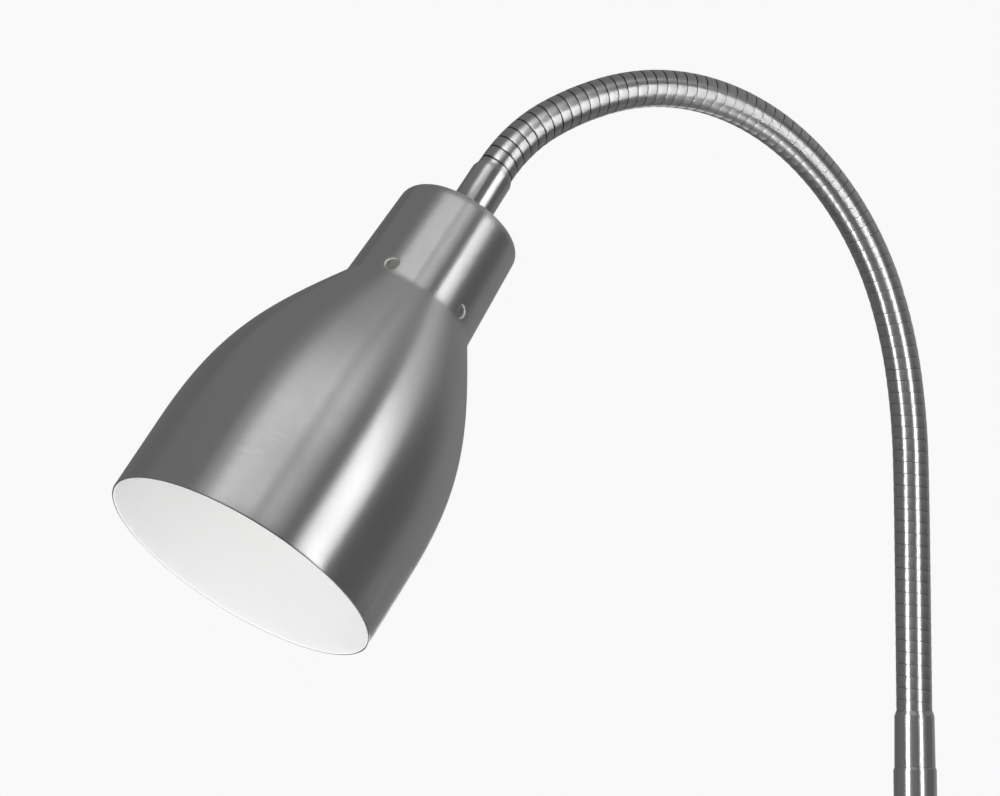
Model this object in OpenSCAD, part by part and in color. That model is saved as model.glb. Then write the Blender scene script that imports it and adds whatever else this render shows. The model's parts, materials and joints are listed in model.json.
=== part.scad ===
// Floor lamp: weighted disc base with a foot switch, screwed pole, wound gooseneck and spun bell shade.
// The origin is on the floor under the pole, +Z is up, and the gooseneck arches towards -X.

/* [Base] */
// Outer diameter of the base cover
base_d = 250; // [200:1:320]
// Thickness of the pressed steel cover
cover_t = 1.2; // [0.8:0.1:2]
// Radius of the cover's rounded top edge, outside
base_edge_r = 8; // [4:0.5:9]
// Height of the cover's rim above the floor
rim_lift = 1.5; // [1:0.1:2.4]
// Thickness of the cast weight
weight_t = 16; // [13:0.5:26]
// Thickness of the foam pad under the weight
pad_t = 2.5; // [2.5:0.1:5]
// Margin from the weight's edge to the pad's edge
pad_margin = 4; // [1:0.5:20]
// Width of the lead channel in the weight's underside
channel_w = 9; // [7:0.5:13]
// Height of the lead channel
channel_h = 6; // [5:0.5:8]

/* [Base fasteners] */
// Diameter of the hollow threaded stud
stud_d = 10; // [9:0.5:12]
// Bore of the stud, for the lead
stud_bore_d = 6; // [4:0.5:7]
// Length of stud that stands inside the pole
stud_grip = 26; // [15:1:28]
// Width across the flats of the stud nut
nut_flats = 17; // [15:0.5:20]
// Thickness of the stud nut
nut_t = 5; // [3:0.5:6]
// Diameter of the stud washer
washer_d = 24; // [21:0.5:30]
// Thickness of the stud washer
washer_t = 1.5; // [1:0.1:2]

/* [Foot switch] */
// Distance from the base's edge to the middle of the switch
switch_edge = 47; // [40:1:60]
// Diameter of the switch housing
switch_d = 22; // [18:0.5:26]
// Depth of the switch housing under the cover
switch_depth = 12.5; // [10:0.5:12.5]
// Diameter of the threaded bush that passes the cover
bush_d = 12; // [11:0.5:13]
// Height of that bush above the cover
bush_h = 4.3; // [3.5:0.1:5]
// Diameter of the ring nut on the cover
ring_nut_d = 17; // [15:0.5:19]
// Thickness of the ring nut
ring_nut_t = 2.5; // [1.5:0.1:3]
// Diameter of the push button
button_d = 20; // [17:0.5:26]
// Height of the push button's cap
button_h = 6.5; // [6.3:0.1:9]
// Wall of the push button's cap
button_wall = 2; // [1.5:0.1:2.2]
// Diameter of the button's stem
stem_d = 7.8; // [6:0.1:8.5]
// Travel of the push button
button_travel = 4; // [2:0.5:5]

/* [Cord inlet] */
// Height of the inlet's centre above the floor
gland_z = 7; // [7:0.5:8]
// Diameter of the hole in the rim
gland_hole_d = 9; // [8:0.5:9.5]
// Bore of the gland, for the cord
gland_bore_d = 6.5; // [5:0.5:7]
// Diameter of the gland's flanges
gland_flange_d = 11.5; // [11:0.5:12]
// Thickness of each flange
gland_flange_t = 1.5; // [1:0.1:2]

/* [Pole] */
// Outer diameter of the pole tube
pole_d = 16; // [15.8:0.1:20]
// Wall of the pole tube
pole_wall = 1; // [0.8:0.1:1.2]
// Length of one pole tube
section_len = 345; // [250:5:450]
// Length of the chamfer at the pole's top
pole_chamfer = 1.4; // [0.5:0.1:3]
// Depth of that chamfer
pole_chamfer_in = 0.5; // [0.2:0.1:0.6]
// Length of the couplers between the tubes
coupler_len = 40; // [25:1:60]
// Bore through couplers and bush, for the lead
lead_bore_d = 7; // [5:0.5:7]
// Length of the threaded bush in the pole's foot
pole_bush_len = 30; // [30:1:45]
// Diameter of the collar at the pole's foot
collar_d = 36; // [28:1:60]
// Height of the collar
collar_h = 16; // [14:0.5:30]
// Thickness of the collar's floor under the pole
collar_floor = 6; // [3:0.5:9]
// Wall of the collar at its top edge
collar_lip = 1.6; // [1.2:0.1:3]

/* [Gooseneck] */
// Diameter over the wound turns
turn_d = 13.4; // [13:0.1:14]
// How far each turn is crowned
turn_crown = 0.2; // [0.1:0.05:0.4]
// Diameter at the bottom of the grooves
groove_d = 11.9; // [11.6:0.1:12.1]
// Width of the groove between turns
turn_gap = 0.5; // [0.3:0.05:0.8]
// Spacing of the turns
turn_pitch = 4.3; // [3.5:0.1:5]
// Bore of the gooseneck, for the lead
neck_bore_d = 7; // [6:0.1:7.2]
// Length of one stretch, along its middle
stretch_len = 31; // [26:0.5:40]
// Diameter of the round lip that nests in the stretch below
lip_d = 9.8; // [9.4:0.1:10]
// Bore of that lip
lip_bore_d = 7.4; // [7.3:0.1:7.8]
// Gap between a lip and its cup
lip_gap = 0.3; // [0.2:0.05:0.4]
// Most that one stretch turns against the next, in degrees
bend_limit = 20; // [10:1:24]
// Diameter of the plain plugs at the gooseneck's ends
plug_d = 11.2; // [10.6:0.1:11.4]
// Length of those plugs
plug_len = 7.5; // [5:0.5:8]

/* [Ferrules] */
// Length of the ferrule on the pole
ferrule_len = 20.5; // [20:0.5:30]
// Length of the ferrule on the shade
head_ferrule_len = 22; // [20:0.5:30]
// Diameter at the tip, below its chamfer
ferrule_tip_d = 14.8; // [14.2:0.1:15.5]
// Diameter at the root
ferrule_root_d = 15.2; // [15:0.1:15.8]
// Length of the tip's chamfer
ferrule_chamfer = 1.9; // [1:0.1:3]
// Depth of that chamfer
ferrule_chamfer_in = 0.65; // [0.3:0.05:0.8]
// Length of the spigot that enters the pole
spigot_len = 20; // [12:1:40]

/* [Shade] */
// Length of the shade along its axis
shade_len = 146; // [135:1:190]
// Diameter of the mouth
mouth_d = 96; // [86:0.5:130]
// Wall of the spun shell
shade_wall = 0.8; // [0.6:0.1:1.5]
// Diameter of the neck at its top
throat_top_d = 44.6; // [42:0.1:50]
// Diameter of the neck where the bell begins
throat_root_d = 47.8; // [46:0.1:54]
// Length of the neck
throat_len = 39.5; // [30:0.5:45]
// Radius of the neck's top edge
throat_corner_r = 3.5; // [2:0.1:6]
// Length of the straight skirt at the mouth
skirt_len = 28; // [20:1:45]
// Angle at which the bell leaves the neck, from the axis
flare_angle = 30; // [22:1:38]
// Reach of the bell's curve from the neck
flare_reach = 33; // [20:1:40]
// Reach of the bell's curve from the skirt
skirt_reach = 34; // [10:1:40]
// Number of vent holes round the neck
vents = 5; // [3:1:9]
// Diameter of a vent hole
vent_d = 4.8; // [3:0.1:6]
// Height of the vent holes above the bell
vent_rise = 3.2; // [3.1:0.1:8]

/* [Lampholder] */
// Diameter of the nipple that clamps the shade
nipple_d = 9.8; // [8:0.1:10.5]
// Wall of the nipple
nipple_wall = 1.4; // [1:0.1:1.8]
// Length of nipple inside the ferrule
nipple_grip = 9; // [6:0.5:10]
// Diameter of the lock washer
lock_washer_d = 20; // [18:0.5:24]
// Thickness of the lock washer
lock_washer_t = 1; // [0.6:0.1:1.5]
// Width across the flats of the lock nut
lock_nut_flats = 14; // [13:0.5:16]
// Thickness of the lock nut
lock_nut_t = 4; // [3:0.5:5]
// Diameter of the lampholder
holder_d = 28; // [26:0.5:32]
// Wall of the lampholder's cap
holder_wall = 2; // [1.5:0.1:2.5]
// Length of the lampholder's cap
holder_cap_len = 18; // [17:0.5:22]
// Depth of the terminal block inside the cap
block_h = 7; // [5:0.5:8]
// Diameter of the cavity for the bulb
cavity_d = 17; // [16.6:0.1:19]
// Thickness of the floor over that cavity
cavity_floor = 5; // [4:0.5:6]

/* [Bulb] */
// Diameter of the bulb's screw cap
screw_d = 13.9; // [13:0.1:14]
// Length of the bulb's screw cap
screw_len = 18; // [16:0.5:22]
// Diameter of the bulb's globe
globe_d = 45; // [38:0.5:50]
// Length of the globe below the screw cap
globe_len = 56; // [50:0.5:58]
// Wall of the globe
globe_wall = 1.2; // [0.8:0.1:2]

/* [Fits] */
// Radial gap of pieces that are pressed or screwed together
fit = 0.05; // [0.02:0.01:0.1]
// Radial gap of pieces that pass through a plain hole
hole_gap = 0.3; // [0.2:0.05:0.4]
// Radial gap of the button's stem
stem_gap = 0.1; // [0.05:0.01:0.15]

/* [Hidden] */
$fn = 72;
overlap = 1;

// Bend of each stretch at rest, in degrees, from the pole to the head
neck_bends = [0, 0, 1, 8, 12, 16, 16, 18, 18, 18, 13, 24.5];
stretches = len(neck_bends);

// Colours as the finish shows
nickel = [0.66, 0.65, 0.63];
dark_steel = [0.35, 0.35, 0.36];
iron = [0.24, 0.24, 0.25];
black = [0.1, 0.1, 0.1];
ivory = [0.92, 0.91, 0.87];
brass = [0.78, 0.62, 0.3];
opal = [0.97, 0.96, 0.93];

// Heights of the base and the pole
weight_top = pad_t + weight_t;
cover_top = weight_top + cover_t;
pole_foot = cover_top + collar_floor;
pole_sections = 3;
pole_top = pole_foot + pole_sections * section_len;
neck_z = pole_top + ferrule_len;
pole_bore_d = pole_d - 2 * pole_wall;
insert_d = pole_bore_d - 2 * fit;

// Radii inside the base
cover_in_r = base_d / 2 - cover_t;
weight_r = cover_in_r - hole_gap;
stud_hole_d = stud_d + 2 * hole_gap;
washer_room = 1.5;
switch_offset = base_d / 2 - switch_edge;
nut_room_d = washer_d + 2 * washer_room;
nut_room_h = washer_t + nut_t + overlap;
stud_z = pad_t + hole_gap;

// Button heights: at the end of its travel the cap stops just over the ring nut
button_stop = 0.5;
stem_floor = 4;
button_z = cover_top + ring_nut_t + button_stop + button_travel;
stem_z = weight_top - switch_depth + stem_floor + button_travel;
stem_room_z = stem_z - button_travel - button_stop;

// Round lips between the stretches: the rim of a cup clears the turn above it at full bend
cup_d = lip_d + 2 * lip_gap;
cup_back = 0.5;
rim_gap = 0.35;
lip_reach = groove_d / 2 * sin(bend_limit) - cup_back * cos(bend_limit) + rim_gap;
turn_steps = 4;

// Heights in the lampholder, measured from the shade's outer top face towards the mouth
lock_nut_z = shade_wall + lock_washer_t;
holder_z = lock_nut_z + lock_nut_t;
holder_neck_h = 3;
holder_neck_wall = 2.5;
holder_neck_d = nipple_d + 2 * holder_neck_wall;
holder_shoulder_h = 6;
holder_floor_h = 6;
skirt_z = holder_z + holder_cap_len;
block_z = skirt_z - block_h;
block_d = holder_d - 2 * holder_wall - 4 * fit;
cavity_z = skirt_z + cavity_floor;
nipple_end = holder_z + holder_floor_h - hole_gap;

// Contacts and terminal screws of the lampholder
contact_d = 6;
contact_t = 1.2;
rivet_d = 2.4;
screw_pitch_r = 8;
terminal_d = 3;
terminal_len = 5;
terminal_head_d = 5;
terminal_head_h = 2;

// Bulb, seated on the centre contact; the lampholder's skirt ends level with its screw cap
tip_h = 1;
tip_d = 5.6;
bulb_z = cavity_z + contact_t;
screw_z = bulb_z + tip_h;
globe_z = screw_z + screw_len;
globe_centre = globe_z + globe_len - globe_d / 2;
holder_skirt_len = globe_z - skirt_z;
holder_taper = 0.5;

// Thread ring of the lampholder
thread_gap = 0.15;
thread_start = 2;
thread_margin = 3;
thread_z = cavity_z + thread_start;
thread_end = globe_z - thread_margin;
thread_d = cavity_d - 2 * fit;

// Points of the bell's curve from the neck to the skirt
bell = [
    [throat_root_d / 2, throat_len],
    [throat_root_d / 2 + flare_reach * sin(flare_angle), throat_len + flare_reach * cos(flare_angle)],
    [mouth_d / 2, shade_len - skirt_len - skirt_reach],
    [mouth_d / 2, shade_len - skirt_len]
];
curve_steps = 14;

function stretch_name(k) = str("neck_stretch_", k < 10 ? "0" : "", k);

// Shared shapes

function backwards(points) = [for (i = [len(points) - 1 : -1 : 0]) points[i]];

// Half outline of a disc whose top edge is rounded
function disc_outline(r, low, high, edge) = concat(
    [[0, low], [r, low]],
    [for (a = [0 : 10 : 90]) [r - edge + edge * cos(a), high - edge + edge * sin(a)]],
    [[0, high]]
);

module tube(outer_d, inner_d, low, high) {
    translate([0, 0, low])
        difference() {
            cylinder(d = outer_d, h = high - low);
            translate([0, 0, -overlap])
                cylinder(d = inner_d, h = high - low + 2 * overlap);
        }
}

module hex_nut(flats, thread_d, low, high) {
    translate([0, 0, low])
        difference() {
            cylinder(d = flats / cos(30), h = high - low, $fn = 6);
            translate([0, 0, -overlap])
                cylinder(d = thread_d + 2 * fit, h = high - low + 2 * overlap);
        }
}

// Base

module base_pad() {
    color(black)
        cylinder(r = weight_r - pad_margin, h = pad_t);
}

module base_weight() {
    color(iron)
        difference() {
            rotate_extrude()
                polygon(disc_outline(weight_r, pad_t, weight_top, base_edge_r - cover_t));
            translate([0, 0, pad_t - overlap])
                cylinder(d = stud_hole_d, h = weight_t + 2 * overlap);
            translate([0, 0, pad_t - overlap])
                cylinder(d = nut_room_d, h = nut_room_h + overlap);
            translate([-switch_offset, 0, pad_t - overlap])
                cylinder(d = switch_d + 2 * hole_gap, h = weight_t + 2 * overlap);
            translate([-switch_offset, -channel_w / 2, pad_t - overlap])
                cube([switch_offset + base_d, channel_w, channel_h + overlap]);
            // Room for the gland's inner flange
            translate([weight_r - 3 * gland_flange_t, 0, gland_z])
                rotate([0, 90, 0])
                    cylinder(d = gland_flange_d + 2 * hole_gap, h = 4 * gland_flange_t);
            translate([weight_r - 3 * gland_flange_t, -gland_flange_d / 2 - hole_gap, pad_t - overlap])
                cube([4 * gland_flange_t, gland_flange_d + 2 * hole_gap, gland_z - pad_t + overlap]);
        }
}

module base_cover() {
    color(nickel)
        difference() {
            rotate_extrude()
                polygon(disc_outline(base_d / 2, rim_lift, cover_top, base_edge_r));
            rotate_extrude()
                polygon(disc_outline(cover_in_r, rim_lift - overlap, weight_top, base_edge_r - cover_t));
            translate([0, 0, weight_top - overlap])
                cylinder(d = stud_hole_d, h = cover_t + 2 * overlap);
            translate([-switch_offset, 0, weight_top - overlap])
                cylinder(d = bush_d + 2 * hole_gap, h = cover_t + 2 * overlap);
            translate([base_d / 4, 0, gland_z])
                rotate([0, 90, 0])
                    cylinder(d = gland_hole_d, h = base_d / 2);
        }
}

module base_stud() {
    color(dark_steel)
        tube(stud_d, stud_bore_d, stud_z, pole_foot + stud_grip);
}

module base_washer() {
    color(dark_steel)
        tube(washer_d, stud_d + 2 * hole_gap, pad_t + nut_room_h - washer_t, pad_t + nut_room_h);
}

module base_nut() {
    color(dark_steel)
        hex_nut(nut_flats, stud_d, pad_t + nut_room_h - washer_t - nut_t, pad_t + nut_room_h - washer_t);
}

// Turned collar with a hollow flank, on the cover round the pole's foot
module base_collar() {
    foot_h = 2;
    top_r = pole_d / 2 + fit + collar_lip;
    flank_r = collar_d / 2 - top_r;
    flank_h = collar_h - 2 * foot_h;
    color(nickel)
        translate([0, 0, cover_top])
            rotate_extrude()
                polygon(concat(
                    [[stud_hole_d / 2, 0], [collar_d / 2, 0]],
                    [
                        for (a = [0 : 10 : 90])
                            [top_r + flank_r * (1 - sin(a)), foot_h + flank_h * (1 - cos(a))]
                    ],
                    [
                        [top_r, collar_h],
                        [pole_d / 2 + fit, collar_h],
                        [pole_d / 2 + fit, collar_floor],
                        [stud_hole_d / 2, collar_floor]
                    ]
                ));
}

module cord_gland() {
    neck_d = gland_hole_d - 2 * fit;
    inner_d = gland_flange_d - gland_flange_t;
    color(black)
        translate([base_d / 2, 0, gland_z])
            rotate([0, 90, 0])
                difference() {
                    union() {
                        cylinder(d1 = gland_flange_d, d2 = inner_d, h = gland_flange_t);
                        translate([0, 0, -cover_t - gland_flange_t])
                            cylinder(d = neck_d, h = cover_t + 1.5 * gland_flange_t);
                        translate([0, 0, -cover_t - hole_gap - gland_flange_t])
                            cylinder(d = inner_d, h = gland_flange_t);
                    }
                    translate([0, 0, -cover_t - 3 * gland_flange_t])
                        cylinder(d = gland_bore_d, h = cover_t + 6 * gland_flange_t);
                }
}

// Foot switch

module at_switch() {
    translate([-switch_offset, 0, 0])
        children();
}

module switch_body() {
    color(black)
        at_switch()
            difference() {
                union() {
                    translate([0, 0, weight_top - switch_depth])
                        cylinder(d = switch_d, h = switch_depth);
                    translate([0, 0, weight_top - overlap])
                        cylinder(d = bush_d, h = cover_t + bush_h + overlap);
                }
                translate([0, 0, stem_room_z])
                    cylinder(d = stem_d + 2 * stem_gap, h = base_d);
            }
}

module switch_nut() {
    color(nickel)
        at_switch()
            difference() {
                translate([0, 0, cover_top])
                    cylinder(d1 = ring_nut_d, d2 = ring_nut_d - ring_nut_t / 2, h = ring_nut_t);
                cylinder(d = bush_d + 2 * fit, h = cover_top + 2 * ring_nut_t);
            }
}

module switch_button() {
    crown = 1.2;
    edge = 1.5;
    color(nickel)
        at_switch() {
            translate([0, 0, button_z])
                rotate_extrude()
                    polygon([
                        [0, button_h - button_wall],
                        [button_d / 2 - button_wall, button_h - button_wall],
                        [button_d / 2 - button_wall, 0],
                        [button_d / 2, 0],
                        [button_d / 2, button_h - crown - edge],
                        [button_d / 2 - edge / 3, button_h - crown - edge / 3],
                        [button_d / 2 - edge, button_h - crown],
                        [button_d / 4, button_h - crown / 3],
                        [0, button_h]
                    ]);
            translate([0, 0, stem_z])
                cylinder(d = stem_d, h = button_z + button_h - button_wall / 2 - stem_z);
        }
}

// Pole

module pole_section(i) {
    color(nickel)
        tube(pole_d, pole_bore_d, pole_foot + i * section_len, pole_foot + (i + 1) * section_len);
}

module pole_lower() {
    pole_section(0);
}

module pole_middle() {
    pole_section(1);
}

module pole_upper() {
    low = pole_top - section_len;
    color(nickel)
        rotate_extrude()
            polygon([
                [pole_bore_d / 2, low],
                [pole_d / 2, low],
                [pole_d / 2, pole_top - pole_chamfer],
                [pole_d / 2 - pole_chamfer_in, pole_top],
                [pole_bore_d / 2, pole_top]
            ]);
}

module pole_couplers() {
    color(dark_steel)
        for (i = [1 : pole_sections - 1])
            let (middle = pole_foot + i * section_len)
                tube(insert_d, lead_bore_d, middle - coupler_len / 2, middle + coupler_len / 2);
}

module pole_bush() {
    color(dark_steel)
        tube(insert_d, stud_d + 2 * fit, pole_foot, pole_foot + pole_bush_len);
}

// Ferrules

// Turned outside with its chamfered tip at zero and its root towards +Z
module ferrule_blank(length) {
    rotate_extrude()
        polygon([
            [0, 0],
            [ferrule_tip_d / 2 - ferrule_chamfer_in, 0],
            [ferrule_tip_d / 2, ferrule_chamfer],
            [ferrule_root_d / 2, length],
            [0, length]
        ]);
}

module plug_socket() {
    translate([0, 0, -overlap])
        cylinder(d = plug_d + 2 * fit, h = plug_len + hole_gap + overlap);
}

module neck_ferrule() {
    color(nickel)
        translate([0, 0, neck_z])
            mirror([0, 0, 1])
                difference() {
                    union() {
                        ferrule_blank(ferrule_len);
                        translate([0, 0, ferrule_len - overlap])
                            cylinder(d = insert_d, h = spigot_len + overlap);
                    }
                    plug_socket();
                    cylinder(d = lead_bore_d, h = ferrule_len + spigot_len + overlap);
                }
}

module head_ferrule() {
    color(nickel)
        at_head()
            difference() {
                ferrule_blank(head_ferrule_len);
                plug_socket();
                cylinder(d = lead_bore_d, h = head_ferrule_len);
                translate([0, 0, head_ferrule_len - nipple_grip - hole_gap])
                    cylinder(d = nipple_d + 2 * fit, h = nipple_grip + hole_gap + overlap);
            }
}

// Gooseneck

function bend_radius(bend) = stretch_len / (bend * PI / 180);
function bend_before(k) = k == 0 ? 0 : bend_before(k - 1) + neck_bends[k - 1];
function chord(bend) = bend == 0 ? stretch_len : 2 * bend_radius(bend) * sin(bend / 2);
function heading(k) = bend_before(k - 1) + neck_bends[k - 1] / 2;

// Middle of the joint above stretch k, and of the gooseneck's foot for zero
function joint_at(k) = k == 0
    ? [0, 0, neck_z]
    : joint_at(k - 1) + chord(neck_bends[k - 1]) * [-sin(heading(k)), 0, cos(heading(k))];

module at_joint(k) {
    translate(joint_at(k))
        rotate([0, -bend_before(k), 0])
            children();
}

// Frame of the head: +Z runs from the gooseneck's end to the mouth
module at_head() {
    at_joint(stretches)
        children();
}

// Places a piece at a distance along a stretch, turned with it
module on_stretch(along, bend) {
    if (bend == 0)
        translate([0, 0, along])
            children();
    else
        translate([-bend_radius(bend), 0, 0])
            rotate([0, -bend * along / stretch_len, 0])
                translate([bend_radius(bend), 0, 0])
                    children();
}

// Round bar that follows a stretch between two distances along it
module bent_bar(d, from, to, bend) {
    if (bend == 0)
        translate([0, 0, from])
            cylinder(d = d, h = to - from);
    else
        translate([-bend_radius(bend), 0, 0])
            rotate([90, 0, 0])
                rotate([0, 0, bend * from / stretch_len])
                    rotate_extrude(angle = bend * (to - from) / stretch_len)
                        translate([bend_radius(bend), 0])
                            circle(d = d);
}

// One crowned turn, solid, about its middle
module turn(width) {
    rotate_extrude()
        polygon(concat(
            [[0, -width / 2]],
            [
                for (i = [0 : turn_steps])
                    let (x = 2 * i / turn_steps - 1)
                        [turn_d / 2 - turn_crown * x * x, x * width / 2]
            ],
            [[0, width / 2]]
        ));
}

// A stretch has its turns, its bore, a round lip below and a cup above; plain plugs end the gooseneck
module neck_stretch(k) {
    bend = neck_bends[k - 1];
    first = k == 1;
    last = k == stretches;
    from = first ? 0 : lip_reach;
    to = last ? stretch_len : stretch_len - cup_back;
    turns = round((to - from) / turn_pitch);
    pitch = (to - from) / turns;
    color(nickel)
        at_joint(k - 1)
            difference() {
                union() {
                    bent_bar(groove_d, from, to, bend);
                    for (i = [0 : turns - 1])
                        on_stretch(from + (i + 0.5) * pitch, bend)
                            turn(pitch - turn_gap);
                    if (first)
                        translate([0, 0, -plug_len])
                            cylinder(d = plug_d, h = plug_len + overlap);
                    else
                        sphere(d = lip_d);
                    if (last)
                        on_stretch(stretch_len, bend)
                            translate([0, 0, -overlap])
                                cylinder(d = plug_d, h = plug_len + overlap);
                }
                bent_bar(neck_bore_d, 0, stretch_len, bend);
                translate([0, 0, -plug_len - overlap])
                    cylinder(d = lip_bore_d, h = plug_len + overlap + from);
                on_stretch(stretch_len, bend)
                    if (last)
                        translate([0, 0, -overlap])
                            cylinder(d = lip_bore_d, h = plug_len + 2 * overlap);
                    else
                        sphere(d = cup_d);
            }
}

// Head

// Frame of the shade: zero on its outer top face, +Z towards the mouth
module at_shade() {
    at_head()
        translate([0, 0, head_ferrule_len])
            children();
}

module head_nipple() {
    color(dark_steel)
        at_shade()
            tube(nipple_d, nipple_d - 2 * nipple_wall, -nipple_grip, nipple_end);
}

module lock_washer() {
    color(dark_steel)
        at_shade()
            tube(lock_washer_d, nipple_d + 2 * hole_gap, shade_wall, lock_nut_z);
}

module lock_nut() {
    color(brass)
        at_shade()
            hex_nut(lock_nut_flats, nipple_d, lock_nut_z, holder_z);
}

function bell_at(t) = pow(1 - t, 3) * bell[0] + 3 * t * pow(1 - t, 2) * bell[1]
    + 3 * t * t * (1 - t) * bell[2] + pow(t, 3) * bell[3];
function bell_way(t) = pow(1 - t, 2) * (bell[1] - bell[0]) + 2 * t * (1 - t) * (bell[2] - bell[1])
    + t * t * (bell[3] - bell[2]);
function bell_inset(t, inset) = let (way = bell_way(t)) bell_at(t) - inset * [way[1], -way[0]] / norm(way);

// Half outline of the shade, set in from its outer face, from the nipple hole to the mouth
function shade_outline(inset) = concat(
    [[nipple_d / 2 + hole_gap, inset]],
    [
        for (a = [0 : 15 : 90])
            [
                throat_top_d / 2 - throat_corner_r + (throat_corner_r - inset) * sin(a),
                throat_corner_r - (throat_corner_r - inset) * cos(a)
            ]
    ],
    [[throat_root_d / 2 - inset, throat_len]],
    [for (i = [(inset > 0 ? 0 : 1) : curve_steps]) bell_inset(i / curve_steps, inset)],
    [[mouth_d / 2 - inset, shade_len]]
);

module shade() {
    color(nickel)
        at_shade()
            difference() {
                rotate_extrude()
                    polygon(concat(shade_outline(0), backwards(shade_outline(shade_wall))));
                for (i = [0 : vents - 1])
                    rotate([0, 0, 180 + i * 360 / vents])
                        translate([0, 0, throat_len - vent_rise])
                            rotate([0, 90, 0])
                                cylinder(d = vent_d, h = throat_root_d);
            }
}

module holder_cap() {
    color(ivory)
        at_shade()
            difference() {
                rotate_extrude()
                    polygon(concat(
                        [
                            [0, holder_z],
                            [holder_neck_d / 2, holder_z],
                            [holder_neck_d / 2, holder_z + holder_neck_h]
                        ],
                        [
                            for (a = [0 : 15 : 90])
                                [
                                    holder_d / 2 - holder_shoulder_h * (1 - sin(a)),
                                    holder_z + holder_neck_h + holder_shoulder_h * (1 - cos(a))
                                ]
                        ],
                        [[holder_d / 2, skirt_z], [0, skirt_z]]
                    ));
                translate([0, 0, holder_z - overlap])
                    cylinder(d = nipple_d + 2 * fit, h = holder_cap_len);
                translate([0, 0, holder_z + holder_floor_h])
                    cylinder(d = holder_d - 2 * holder_wall, h = holder_cap_len);
            }
}

module at_terminals() {
    for (side = [-1, 1])
        translate([side * screw_pitch_r, 0, block_z])
            children();
}

module holder_body() {
    color(ivory)
        at_shade()
            difference() {
                union() {
                    translate([0, 0, block_z])
                        cylinder(d = block_d, h = block_h + overlap);
                    translate([0, 0, skirt_z])
                        cylinder(d1 = holder_d, d2 = holder_d - 2 * holder_taper, h = holder_skirt_len);
                }
                translate([0, 0, cavity_z])
                    cylinder(d = cavity_d, h = holder_skirt_len);
                translate([0, 0, block_z - overlap])
                    cylinder(d = rivet_d + 2 * fit, h = holder_skirt_len);
                at_terminals()
                    translate([0, 0, -overlap])
                        cylinder(d = terminal_d + 2 * fit, h = terminal_len + hole_gap + overlap);
            }
}

module holder_thread() {
    color(brass)
        at_shade()
            tube(thread_d, screw_d + 2 * thread_gap, thread_z, thread_end);
}

// Centre contact with its rivet through the block, and the side contact under the thread ring
module holder_contacts() {
    side_w = 3;
    side_t = (thread_d - screw_d) / 2 - thread_gap;
    color(brass)
        at_shade() {
            translate([0, 0, cavity_z])
                cylinder(d = contact_d, h = contact_t);
            translate([0, 0, block_z - hole_gap])
                cylinder(d = rivet_d, h = cavity_z - block_z + 2 * hole_gap);
            translate([screw_d / 2 + thread_gap, -side_w / 2, cavity_z])
                cube([side_t - hole_gap, side_w, thread_z - cavity_z]);
        }
}

module holder_screws() {
    color(brass)
        at_shade()
            at_terminals() {
                cylinder(d = terminal_d, h = terminal_len);
                translate([0, 0, -terminal_head_h])
                    cylinder(d = terminal_head_d, h = terminal_head_h);
            }
}

module bulb_cap() {
    shoulder = 2;
    color(nickel)
        at_shade()
            rotate_extrude()
                polygon([
                    [0, bulb_z],
                    [tip_d / 2 - tip_h / 2, bulb_z],
                    [tip_d / 2, screw_z],
                    [screw_d / 2 - shoulder, screw_z],
                    [screw_d / 2, screw_z + shoulder],
                    [screw_d / 2, globe_z],
                    [0, globe_z]
                ]);
}

// Half outline of the globe: a cone from the screw cap, tangent to a ball
function globe_outline(inset) =
    let (
        r = globe_d / 2,
        rise = globe_centre - globe_z,
        neck_r = screw_d / 2,
        lean = asin(r / norm([rise, neck_r])) - atan(neck_r / rise)
    )
    concat(
        [[neck_r - inset, globe_z]],
        [
            for (i = [0 : curve_steps])
                let (a = -lean + (90 + lean) * i / curve_steps)
                    [(r - inset) * cos(a), globe_centre + (r - inset) * sin(a)]
        ]
    );

module bulb_globe() {
    color(opal)
        at_shade()
            rotate_extrude()
                polygon(concat(globe_outline(0), backwards(globe_outline(globe_wall))));
}

base_pad();
base_weight();
base_cover();
base_stud();
base_washer();
base_nut();
base_collar();
cord_gland();
switch_body();
switch_nut();
switch_button();
pole_lower();
pole_middle();
pole_upper();
pole_couplers();
pole_bush();
neck_ferrule();
for (k = [1 : stretches])
    neck_stretch(k);
head_ferrule();
head_nipple();
lock_washer();
lock_nut();
shade();
holder_cap();
holder_body();
holder_thread();
holder_contacts();
holder_screws();
bulb_cap();
bulb_globe();
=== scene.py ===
"""Floor lamp: finishes for every part, the wound gooseneck, the spun shade, and a plain studio."""
import json
import math

import bmesh
import bpy
from mathutils import Matrix, Vector

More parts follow.
